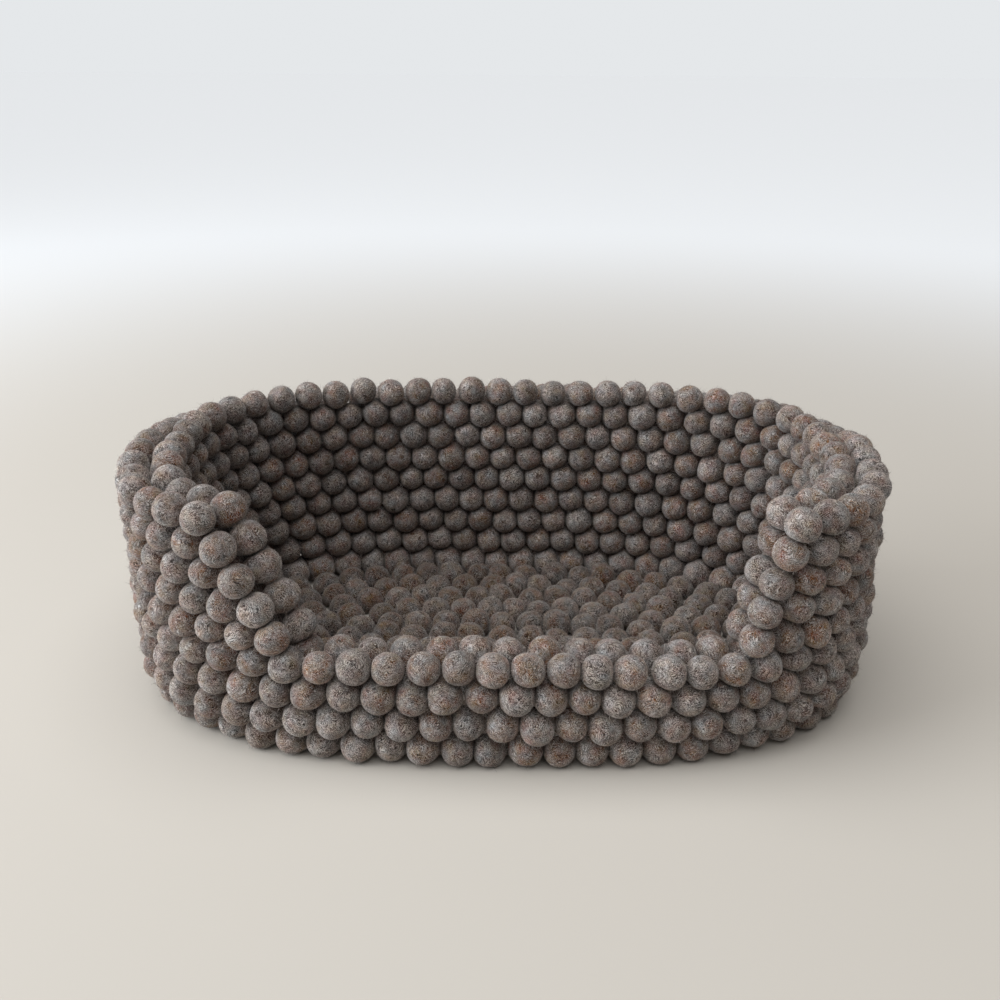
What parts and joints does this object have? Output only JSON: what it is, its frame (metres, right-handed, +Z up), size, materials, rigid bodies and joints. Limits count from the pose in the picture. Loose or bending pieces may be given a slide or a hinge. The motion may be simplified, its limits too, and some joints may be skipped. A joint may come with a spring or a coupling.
{
  "type": "felt ball pet bed",
  "caption": "Oval pet bed with a low front entry, its double wall and floor sewn from round wool felt balls, for a cat or small dog to lie in.",
  "frame": {"origin": "on the ground under the middle of the bed", "axes": "+X along the bed's long side to the right as one faces the entry, +Y from the entry to the back, +Z up"},
  "size_m": [0.6018, 0.3847, 0.2],
  "materials": {
    "wall_felt": "matte heathered grey-brown wool felt with a short fuzz",
    "floor_felt": "matte heathered grey-brown wool felt, a little pressed"
  },
  "bodies": {
    "root": {"floor_mat": "floor_felt", "wall_course_1": "wall_felt", "wall_course_2": "wall_felt", "wall_course_3": "wall_felt", "wall_course_4": "wall_felt", "wall_course_5": "wall_felt", "wall_course_6": "wall_felt", "wall_course_7": "wall_felt", "wall_course_8": "wall_felt", "wall_course_9": "wall_felt"}
  },
  "joints": []
}
